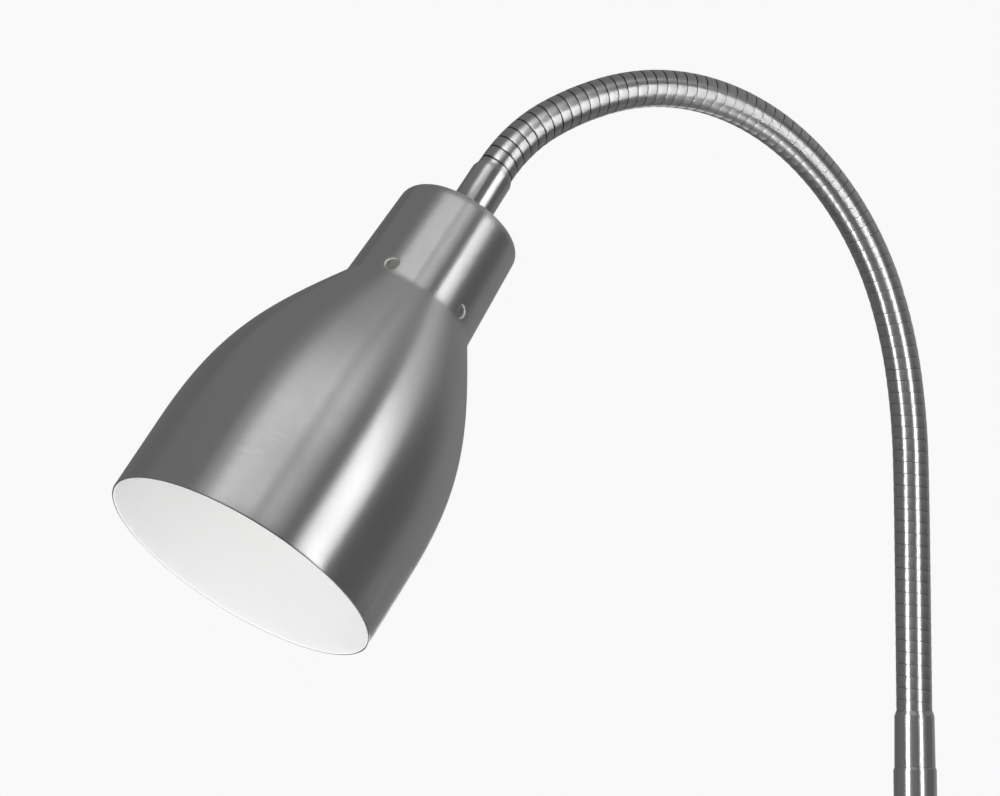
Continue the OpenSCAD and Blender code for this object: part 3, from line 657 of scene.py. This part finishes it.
def wound_piece(name, tree, path, lead_in, first_turn, turns, core_start, core_end):
    """One run of the winding as a plain mesh."""
    host = new_object(name + "_host", path)
    modifier = host.modifiers.new("winding", "NODES")
    modifier.node_group = tree
    values = {
        "Lead-in": lead_in, "Pitch": TURN_PITCH, "Turn Diameter": TURN_D, "Gap": TURN_GAP,
        "Outer Gap": OUTER_GAP, "Inner Gap": INNER_GAP, "Crown": TURN_CROWN, "Thickness": STRIP_THICKNESS,
        "Edge Radius": STRIP_EDGE_R, "Core Diameter": CORE_D,
        "First Turn": first_turn, "Turns": turns, "Core Start": core_start, "Core End": core_end,
        "Steps per Turn": STEPS_PER_TURN, "Material": STRIP_NICKEL,
    }
    for socket in tree.interface.items_tree:
        if socket.in_out == "INPUT" and socket.name in values:
            value = values[socket.name]
            modifier[socket.identifier] = float(value) if socket.socket_type == "NodeSocketFloat" else value
    return as_mesh(host, name)


def cut_end(mesh, point, outward):
    """Cuts a mesh off at a plane and closes the cut."""
    work = bmesh.new()
    work.from_mesh(mesh)
    everything = [*work.verts, *work.edges, *work.faces]
    cut = bmesh.ops.bisect_plane(
        work, geom=everything, plane_co=point, plane_no=outward, clear_outer=True
    )
    rims = [edge for edge in cut["geom_cut"] if isinstance(edge, bmesh.types.BMEdge)]
    bmesh.ops.holes_fill(work, edges=rims)
    work.to_mesh(mesh)
    work.free()


def gooseneck_ball(centre, axis, below):
    """The ball that the halves of the split run turn on, with its brushing round the gooseneck's line."""
    work = bmesh.new()
    round_faces, height_faces = BALL_FACES
    bmesh.ops.create_uvsphere(work, u_segments=round_faces, v_segments=height_faces, radius=BALL_R)
    turned = axis.to_track_quat("Z", "Y").to_matrix().to_4x4()
    bmesh.ops.transform(work, matrix=Matrix.Translation(centre) @ turned, verts=work.verts)
    mesh = bpy.data.meshes.new("gooseneck_ball")
    work.to_mesh(mesh)
    work.free()
    lay = mesh.attributes.new("lay", "FLOAT_VECTOR", "POINT")
    for i, vertex in enumerate(mesh.vertices):
        lay.data[i].vector = axis.cross(vertex.co - centre).normalized()
    smooth(mesh, WINDING_SHARP)
    mesh.materials.append(STRIP_NICKEL)
    ball = new_object("gooseneck_ball", mesh)
    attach(ball, below)


def split_run(tree, path, lead_in, first, last):
    """The run over the split joint: two stiff halves with room to turn, and the ball between them."""
    centre, heading = neck_at(SPLIT_JOINT * STRETCH)
    axis = way(heading)
    outer = way(heading - math.pi / 2)
    closing_out, closing_in = [abs(math.radians(limit)) / 2 + SPLIT_ROOM for limit in SPLIT_TRAVEL]
    below, above = STRETCH_BODIES[SPLIT_JOINT - 1:SPLIT_JOINT + 1]
    # Each half is wound past the joint by a turn or more and then cut back
    joint_turn = SPLIT_JOINT * TURNS_PER_STRETCH
    halves = (("lower", first, joint_turn + 1, axis, below), ("upper", joint_turn - 2, last, -axis, above))
    for part, start, end, outward, body in halves:
        name = f"gooseneck_run_{SPLIT_JOINT:02d}_{part}"
        low = turn_middle(start)
        high = turn_middle(end)
        mesh = wound_piece(name, tree, path, lead_in, start, end - start, low, high)
        ridge = centre - RIDGE_GAP / 2 * outward
        cut_end(mesh, ridge, outward * math.cos(closing_out) + outer * math.sin(closing_out))
        cut_end(mesh, ridge, outward * math.cos(closing_in) - outer * math.sin(closing_in))
        smooth(mesh, WINDING_SHARP)
        run = new_object(name, mesh)
        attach(run, body)
        if body == above:
            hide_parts(f"neck_stretch_{SPLIT_JOINT + 1:02d}")
    gooseneck_ball(centre, axis, below)


def gooseneck():
    """The winding in runs that meet at the middle of each stretch; all but the end ones cross a joint."""
    lead_in = 2 * TURN_PITCH
    turns_to_middle = TURNS_PER_STRETCH // 2
    still = TURN_PITCH / 2 + STILL_MARGIN
    tree = wound_strip_tree()
    path = path_mesh(lead_in)
    seams = [-1, *[k * TURNS_PER_STRETCH + turns_to_middle for k in range(len(BENDS))]]
    seams.append(len(BENDS) * TURNS_PER_STRETCH)
    for k, (first, last) in enumerate(zip(seams, seams[1:])):
        if k == SPLIT_JOINT:
            split_run(tree, path, lead_in, first, last)
            continue
        low = turn_middle(first)
        high = turn_middle(last)
        name = f"gooseneck_run_{k:02d}"
        mesh = wound_piece(name, tree, path, lead_in, first, last - first, low, high)
        if k == 0:
            cut_end(mesh, Vector((0, 0, NECK_FOOT)), DOWN)
        if k == len(BENDS):
            cut_end(mesh, NECK_END, HEAD_AXIS)
        smooth(mesh, WINDING_SHARP)
        run = new_object(name, mesh)
        if k == 0:
            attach(run, "stand")
        elif k == len(BENDS):
            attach(run, "head")
        else:
            neck_at(low + still)[0]
            neck_at(high - still)[0]
            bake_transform(run)
        if k < len(BENDS):
            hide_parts(f"neck_stretch_{k + 1:02d}")


gooseneck()


# Shade


def bell_point(t, inset):
    """Radius and height on the bell's curve, set in square to it."""
    points = [
        Vector((THROAT_ROOT_R, THROAT_LENGTH)),
        Vector((
            THROAT_ROOT_R + FLARE_REACH * math.sin(FLARE_ANGLE),
            THROAT_LENGTH + FLARE_REACH * math.cos(FLARE_ANGLE),
        )),
        Vector((MOUTH_R, SHADE_LENGTH - SKIRT_LENGTH - SKIRT_REACH)),
        Vector((MOUTH_R, SHADE_LENGTH - SKIRT_LENGTH)),
    ]
    weights = ((1 - t) ** 3, 3 * t * (1 - t) ** 2, 3 * t * t * (1 - t), t ** 3)
    slopes = ((1 - t) ** 2, 2 * t * (1 - t), t * t)
    point = sum((w * p for w, p in zip(weights, points)), Vector((0, 0)))
    run = sum((s * (b - a) for s, a, b in zip(slopes, points, points[1:])), Vector((0, 0))).normalized()
    return point - inset * Vector((run.y, -run.x))


def throat_radius(height, inset):
    """Radius of the tapered throat, which turns into the bell's flare over the crease."""
    taper = (THROAT_ROOT_R - THROAT_TOP_R) / (THROAT_LENGTH - THROAT_CORNER_R)
    past = max(height - THROAT_LENGTH + CREASE_REACH, 0)
    turned_out = (math.tan(FLARE_ANGLE) - taper) * past ** 2 / (4 * CREASE_REACH)
    return THROAT_TOP_R + taper * (height - THROAT_CORNER_R) + turned_out - inset


def shade_rows(inset):
    """Radius and height of one face's rows, from the nipple hole to the lip, and the vents' first row."""
    steps = SHADE_ROWS
    top_r = THROAT_TOP_R - THROAT_CORNER_R
    rows = [
        (NIPPLE_HOLE_R + (top_r - NIPPLE_HOLE_R) * i / steps["top"], inset) for i in range(steps["top"])
    ]
    for i in range(steps["corner"] + 1):
        angle = math.pi / 2 * i / steps["corner"]
        reach = THROAT_CORNER_R - inset
        rows.append((top_r + reach * math.sin(angle), THROAT_CORNER_R - reach * math.cos(angle)))
    vent_low = VENT_HEIGHT - VENT_ROOM
    for i in range(1, steps["throat"]):
        height = THROAT_CORNER_R + (vent_low - THROAT_CORNER_R) * i / steps["throat"]
        rows.append((throat_radius(height, inset), height))
    first_vent_row = len(rows)
    for i in range(VENT_CELLS + 1):
        height = vent_low + 2 * VENT_ROOM * i / VENT_CELLS
        rows.append((throat_radius(height, inset), height))
    for i in range(steps["crease"] + 1):
        height = THROAT_LENGTH + CREASE_REACH * i / steps["crease"]
        rows.append((throat_radius(height, inset), height))
    rows.extend(tuple(bell_point(i / steps["bell"], inset)) for i in range(2, steps["bell"] + 1))
    skirt_top = SHADE_LENGTH - SKIRT_LENGTH
    skirt_reach = SKIRT_LENGTH - SHADE_WALL / 2
    for i in range(1, steps["skirt"] + 1):
        rows.append((MOUTH_R - inset, skirt_top + skirt_reach * i / steps["skirt"]))
    return rows, first_vent_row


# Half a vent's patch, the points round it as rows and columns from its middle, and the columns it covers
HALF_PATCH = VENT_CELLS // 2
PATCH_SIDE = range(-HALF_PATCH, HALF_PATCH)
PATCH_BORDER = [(-HALF_PATCH, d) for d in PATCH_SIDE]
PATCH_BORDER += [(d, HALF_PATCH) for d in PATCH_SIDE]
PATCH_BORDER += [(HALF_PATCH, -d) for d in PATCH_SIDE]
PATCH_BORDER += [(-d, -HALF_PATCH) for d in PATCH_SIDE]
PATCH_COLUMNS = {(c + d) % SHADE_COLUMNS: d for c in VENT_COLUMNS for d in (*PATCH_SIDE, HALF_PATCH)}
COLUMN_ANGLE = math.tau / SHADE_COLUMNS


def lip_rows():
    """Radius and height of the rows over the rounded lip, from the outer face to the inner one."""
    rows = []
    for i in range(1, LIP_STEPS):
        angle = math.pi * i / LIP_STEPS
        rows.append((
            MOUTH_R - SHADE_WALL / 2 + SHADE_WALL / 2 * math.cos(angle),
            SHADE_LENGTH - SHADE_WALL / 2 + SHADE_WALL / 2 * math.sin(angle),
        ))
    return rows


def in_patch(row, col, patch_rows, as_cell):
    """True for a cell, or else for a point, that the rings of faces round a vent take over."""
    first = 0 if as_cell else 1
    row_hit = any(start + first <= row < start + VENT_CELLS for start in patch_rows)
    offset = PATCH_COLUMNS.get(col % SHADE_COLUMNS)
    return row_hit and offset is not None and first - HALF_PATCH <= offset < HALF_PATCH


def shade_point(work, radius, height, angle):
    return work.verts.new((radius * math.cos(angle), radius * math.sin(angle), height))


def shade_face(work, corners, enamelled):
    work.faces.new(corners).material_index = 1 if enamelled else 0


def vent_rings(work, loop, column, inset):
    """Rings of faces from a vent's patch, on one face of the wall, to the hole; returns the last ring."""
    cell = 2 * VENT_ROOM / VENT_CELLS
    upward = 1 if inset == 0 else -1
    edge = VENT_R + (VENT_EDGE_R if inset == 0 else 0)
    steps = [(rounding, edge, inset) for rounding in VENT_ROUNDING]
    if inset == 0:
        turns = [math.pi / 2 * k / VENT_EDGE_STEPS for k in range(1, VENT_EDGE_STEPS + 1)]
        steps += [(1, edge - VENT_EDGE_R * math.sin(a), VENT_EDGE_R * (1 - math.cos(a))) for a in turns]
    for rounding, radius, sunk in steps:
        ring = []
        for r, c in PATCH_BORDER:
            offset = Vector((c, r * upward)) * cell
            spot = offset.lerp(offset.normalized() * radius, rounding)
            height = VENT_HEIGHT + spot.y
            angle = column * COLUMN_ANGLE + spot.x / throat_radius(VENT_HEIGHT, 0)
            ring.append(shade_point(work, throat_radius(height, sunk), height, angle))
        for k in range(len(ring)):
            m = (k + 1) % len(ring)
            shade_face(work, (loop[k], loop[m], ring[m], ring[k]), enamelled=inset > 0)
        loop = ring
    return loop


def shade_mesh():
    """The spun shell as one closed wall: outer face, rounded lip, inner face, and the vents through it."""
    outer, outer_patch = shade_rows(0)
    inner, _ = shade_rows(SHADE_WALL)
    rows = outer + lip_rows() + inner[::-1]
    enamel_start = len(outer) + LIP_METAL_STEPS
    inner_patch = len(rows) - 1 - outer_patch - VENT_CELLS
    patch_rows = (outer_patch, inner_patch)
    work = bmesh.new()
    grid = {
        (i, j): shade_point(work, r, h, j * COLUMN_ANGLE)
        for i, (r, h) in enumerate(rows)
        for j in range(SHADE_COLUMNS)
        if not in_patch(i, j, patch_rows, as_cell=False)
    }

    def at(i, j):
        return grid[i % len(rows), j % SHADE_COLUMNS]

    for i in range(len(rows)):
        for j in range(SHADE_COLUMNS):
            if not in_patch(i, j, patch_rows, as_cell=True):
                corners = (at(i, j), at(i, j + 1), at(i + 1, j + 1), at(i + 1, j))
                shade_face(work, corners, enamelled=enamel_start <= i < len(rows) - 1)

    # The inner ring runs the other way up, so its points pair with those mirrored in height
    partner = [PATCH_BORDER.index((-r, c)) for r, c in PATCH_BORDER]
    for column in VENT_COLUMNS:
        rings = []
        for start, inset in ((outer_patch, 0), (inner_patch, SHADE_WALL)):
            loop = [at(start + HALF_PATCH + r, column + c) for r, c in PATCH_BORDER]
            rings.append(vent_rings(work, loop, column, inset))
        outer_ring, inner_ring = rings
        for k in range(len(PATCH_BORDER)):
            m = (k + 1) % len(PATCH_BORDER)
            corners = (outer_ring[k], outer_ring[m], inner_ring[partner[m]], inner_ring[partner[k]])
            shade_face(work, corners, enamelled=True)

    mesh = bpy.data.meshes.new("shade_spun")
    bmesh.ops.transform(work, matrix=SHADE_PLACE, verts=work.verts)
    work.to_mesh(mesh)
    work.free()
    smooth(mesh, SHADE_SHARP)
    return mesh


def shade():
    mesh = shade_mesh()
    mesh.materials.append(HEAD_NICKEL)
    mesh.materials.append(WHITE_ENAMEL)
    piece = new_object("shade_spun", mesh)
    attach(piece, "head")
    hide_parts("shade")
    return piece


SHADE = shade()


# Studio


TO_CAMERA = Vector((
    math.sin(VIEW_AZIMUTH) * math.cos(VIEW_ELEVATION),
    -math.cos(VIEW_AZIMUTH) * math.cos(VIEW_ELEVATION),
    math.sin(VIEW_ELEVATION),
))
CAMERA_RIGHT = Vector((math.cos(VIEW_AZIMUTH), math.sin(VIEW_AZIMUTH), 0))
CAMERA_UP = TO_CAMERA.cross(CAMERA_RIGHT)
NEAR = Vector((TO_CAMERA.x, TO_CAMERA.y, 0)).normalized()
BACKGROUND = "#F9F9F9"
# How strongly the surroundings light paint and floor
AMBIENT = 0.7
FLOOR_REACH = 6
# The floor turns into background between these distances; in the metal it grows dim over a shorter way
FLOOR_FADE = {"From Min": 0.5, "From Max": 2.2}
FLOOR_DIM = {"From Min": 0.1, "From Max": 1, "To Min": 0.6, "To Max": 0.1}
FLOOR_GLOW = 0.2
# The strip lamps face a point in the space under the arch
UNDER_ARCH = Vector((-0.1, 0, 1.15))
# Cards all round the lamp, by their angle from the camera, and how bright each looks in the metal
FLAG_TONES = {0: 0.14, 45: 0.22, 90: 0.14, 135: 0.36, 180: 0.24, -135: 0.20, -90: 0.25, -45: 0.24}
FLAG_DISTANCE = 2.4
FLAG_HEIGHT = 1.1


def camera():
    """Camera at the photograph's viewing angle, placed so that the gooseneck's foot lies at its pixel."""
    data = bpy.data.cameras.new("camera")
    data.sensor_fit = "HORIZONTAL"
    data.sensor_width = SENSOR_MM
    data.lens = LENS_MM
    focal_px = LENS_MM / SENSOR_MM * IMAGE_SIZE[0]
    sideways = (FOOT_PIXEL[0] - IMAGE_SIZE[0] / 2) / focal_px
    downward = (FOOT_PIXEL[1] - IMAGE_SIZE[1] / 2) / focal_px
    ray = -TO_CAMERA + sideways * CAMERA_RIGHT - downward * CAMERA_UP
    turned = Matrix((CAMERA_RIGHT, CAMERA_UP, TO_CAMERA)).transposed().to_4x4()
    view = new_object("camera", data)
    view.matrix_world = Matrix.Translation(Vector((0, 0, NECK_FOOT)) - VIEW_DEPTH * ray) @ turned
    bpy.context.scene.camera = view


def studio_point(right, near, up):
    """A place from the lamp's foot: to the camera's right, towards the camera, and up."""
    return right * CAMERA_RIGHT + near * NEAR + Vector((0, 0, up))


def aimed(place, target):
    """The turn that makes a lamp or card at a place face its target."""
    return (target - place).to_track_quat("-Z", "Y")


def softbox(name, place, target, width, height, radiance, reflected=True):
    """A rectangular lamp of a given brightness: it is reflected in the metal, or else it lights paint."""
    data = bpy.data.lights.new(name, "AREA")
    data.shape = "RECTANGLE"
    data.size = width
    data.size_y = height
    data.energy = radiance * math.pi * width * height
    lamp = new_object(name, data)
    lamp.location = place
    lamp.rotation_mode = "QUATERNION"
    lamp.rotation_quaternion = aimed(place, target)
    lamp.visible_camera = False
    lamp.visible_diffuse = not reflected
    lamp.visible_glossy = reflected
    return lamp


def shield(lamp, pieces, state):
    """Keeps a lamp off some pieces, or on those alone, as cards set round the lamp would."""
    group = bpy.data.collections.new(lamp.name + "_pieces")
    for piece in pieces:
        group.objects.link(piece)
    for member in group.collection_objects:
        member.light_linking.link_state = state
    lamp.light_linking.receiver_collection = group


def white_for_views(tree, strength):
    """Background white for camera, glossy and transmission rays; a plain level for the rest."""
    ray = add(tree, "ShaderNodeLightPath").outputs
    seen = add(
        tree, "ShaderNodeMath", {0: ray["Is Camera Ray"], 1: ray["Is Glossy Ray"]}, operation="ADD"
    ).outputs[0]
    seen = add(
        tree, "ShaderNodeMath", {0: seen, 1: ray["Is Transmission Ray"]}, operation="ADD", use_clamp=True
    ).outputs[0]
    return add(tree, "ShaderNodeMapRange", {"Value": seen, "To Min": strength}).outputs[0]


def world():
    made = bpy.data.worlds.new("studio")
    made.use_nodes = True
    tree = made.node_tree
    background = tree.nodes["Background"]
    background.inputs["Color"].default_value = linear(BACKGROUND)
    tree.links.new(white_for_views(tree, AMBIENT), background.inputs["Strength"])
    bpy.context.scene.world = made


def pale_floor():
    """Pale floor that takes the lamp's shadow and fades into the background."""
    r = FLOOR_REACH
    mesh = bpy.data.meshes.new("floor")
    mesh.from_pydata([(-r, -r, 0), (r, -r, 0), (r, r, 0), (-r, r, 0)], [], [(0, 1, 2, 3)])
    material = bpy.data.materials.new("pale_floor")
    material.use_nodes = True
    tree = material.node_tree
    tree.nodes.remove(tree.nodes["Principled BSDF"])
    place = add(tree, "ShaderNodeTexCoord").outputs["Object"]
    away = add(tree, "ShaderNodeVectorMath", {0: place}, operation="LENGTH").outputs["Value"]
    fade = add(
        tree, "ShaderNodeMapRange", {"Value": away, **FLOOR_FADE}, interpolation_type="SMOOTHSTEP"
    ).outputs[0]
    matt = add(tree, "ShaderNodeBsdfDiffuse", {"Color": linear("#D8D8D8")}).outputs[0]
    glow = add(
        tree, "ShaderNodeEmission", {"Color": linear(BACKGROUND), "Strength": FLOOR_GLOW}
    ).outputs[0]
    lit = add(tree, "ShaderNodeAddShader", {0: matt, 1: glow}).outputs[0]
    white = add(tree, "ShaderNodeEmission", {"Color": linear(BACKGROUND), "Strength": 1}).outputs[0]
    seen = add(tree, "ShaderNodeMixShader", {0: fade, 1: lit, 2: white}).outputs[0]
    dim = add(
        tree, "ShaderNodeMapRange", {"Value": away, **FLOOR_DIM}, interpolation_type="SMOOTHSTEP"
    ).outputs[0]
    mirrored = add(tree, "ShaderNodeEmission", {"Color": linear(BACKGROUND), "Strength": dim}).outputs[0]
    glossy = add(tree, "ShaderNodeLightPath").outputs["Is Glossy Ray"]
    either = add(tree, "ShaderNodeMixShader", {0: glossy, 1: seen, 2: mirrored}).outputs[0]
    tree.links.new(either, tree.nodes["Material Output"].inputs["Surface"])
    mesh.materials.append(material)
    new_object("floor", mesh)


def flag(name, place, target, width, height, tone):
    """A grey card that only reflections see, from its front: it gives the metal its darker bands."""
    mesh = bpy.data.meshes.new(name)
    w, h = width / 2, height / 2
    mesh.from_pydata([(-w, -h, 0), (-w, h, 0), (w, h, 0), (w, -h, 0)], [], [(0, 1, 2, 3)])
    mesh.transform(Matrix.Translation(place) @ aimed(place, target).to_matrix().to_4x4())
    material = bpy.data.materials.new(name)
    material.use_nodes = True
    tree = material.node_tree
    tree.nodes.remove(tree.nodes["Principled BSDF"])
    glow = add(tree, "ShaderNodeEmission", {"Color": (tone, tone, tone, 1), "Strength": 1}).outputs[0]
    clear = add(tree, "ShaderNodeBsdfTransparent").outputs[0]
    behind = add(tree, "ShaderNodeNewGeometry").outputs["Backfacing"]
    sided = add(tree, "ShaderNodeMixShader", {0: behind, 1: glow, 2: clear}).outputs[0]
    tree.links.new(sided, tree.nodes["Material Output"].inputs["Surface"])
    mesh.materials.append(material)
    card = new_object(name, mesh)
    card.visible_camera = False
    card.visible_diffuse = False
    card.visible_transmission = False
    card.visible_shadow = False


def studio():
    """Strip lamps draw the lines on gooseneck and pole; the shade has softboxes of its own."""
    bpy.context.scene.view_settings.view_transform = "Standard"
    camera()
    world()
    pale_floor()

    right = studio_point(0.36, 0.58, 1.15)
    left = studio_point(-0.66, 0.6, 1.08)
    above = SHADE_SEAT + studio_point(-0.17, 0.92, 0.93)
    softbox("right_strip", right, UNDER_ARCH, width=0.07, height=0.55, radiance=13)
    off_shade = [
        softbox("right_tall_strip", right, UNDER_ARCH, width=0.07, height=0.7, radiance=26),
        softbox("left_strip", left, UNDER_ARCH, width=0.24, height=0.55, radiance=19),
        softbox("top_softbox", above, SHADE_SEAT, width=0.95, height=0.2, radiance=3.4),
    ]
    for lamp in off_shade:
        shield(lamp, [SHADE], "EXCLUDE")

    # Over the shade a bright softbox lies in a wider and dimmer one, so that the glow's left edge is soft
    shade_top = SHADE_SEAT + studio_point(-0.13, 0.92, 0.93)
    shade_edge = SHADE_SEAT + studio_point(-0.28, 0.92, 0.93)
    shade_side = SHADE_SEAT + studio_point(0.49, 0.88, 0.75)
    on_shade = [
        softbox("shade_top_softbox", shade_top, SHADE_SEAT, width=0.87, height=0.6, radiance=1.45),
        softbox("shade_edge_softbox", shade_edge, SHADE_SEAT, width=1.17, height=0.6, radiance=0.55),
        softbox("shade_side_softbox", shade_side, SHADE_SEAT, width=0.51, height=0.6, radiance=1.5),
    ]
    fill = studio_point(-0.75, 0.75, 0.55)
    mouth = SHADE_SEAT + SHADE_LENGTH * HEAD_AXIS
    enamel_fill = softbox(
        "enamel_fill", fill, mouth, width=0.6, height=0.6, radiance=6.6, reflected=False
    )
    for lamp in on_shade:
        shield(lamp, [SHADE], "INCLUDE")
    shield(enamel_fill, [SHADE, EASED["holder_cap"], EASED["holder_body"]], "INCLUDE")

    behind = studio_point(0, -1.1, 0.45)
    softbox("back_strip", behind, UNDER_ARCH, width=0.25, height=0.8, radiance=3)
    overhead = Vector((0.35, -0.25, 3))
    softbox(
        "overhead_softbox", overhead, overhead + DOWN,
        width=1.5, height=1.5, radiance=3.4, reflected=False,
    )

    for k, (azimuth, tone) in enumerate(FLAG_TONES.items()):
        angle = math.radians(azimuth)
        place = studio_point(FLAG_DISTANCE * math.sin(angle), FLAG_DISTANCE * math.cos(angle), FLAG_HEIGHT)
        flag(f"flag_{k}", place, Vector((0, 0, FLAG_HEIGHT)), width=2, height=4.6, tone=tone)
    flag("flag_top", Vector((0, 0, 3.3)), LAMP_FOOT, width=5, height=5, tone=0.28)
    high = studio_point(1.16, -0.81, 2.44)
    flag("flag_high", high, Vector((-0.1, 0, 1.33)), width=3.2, height=1.6, tone=0.44)


studio()
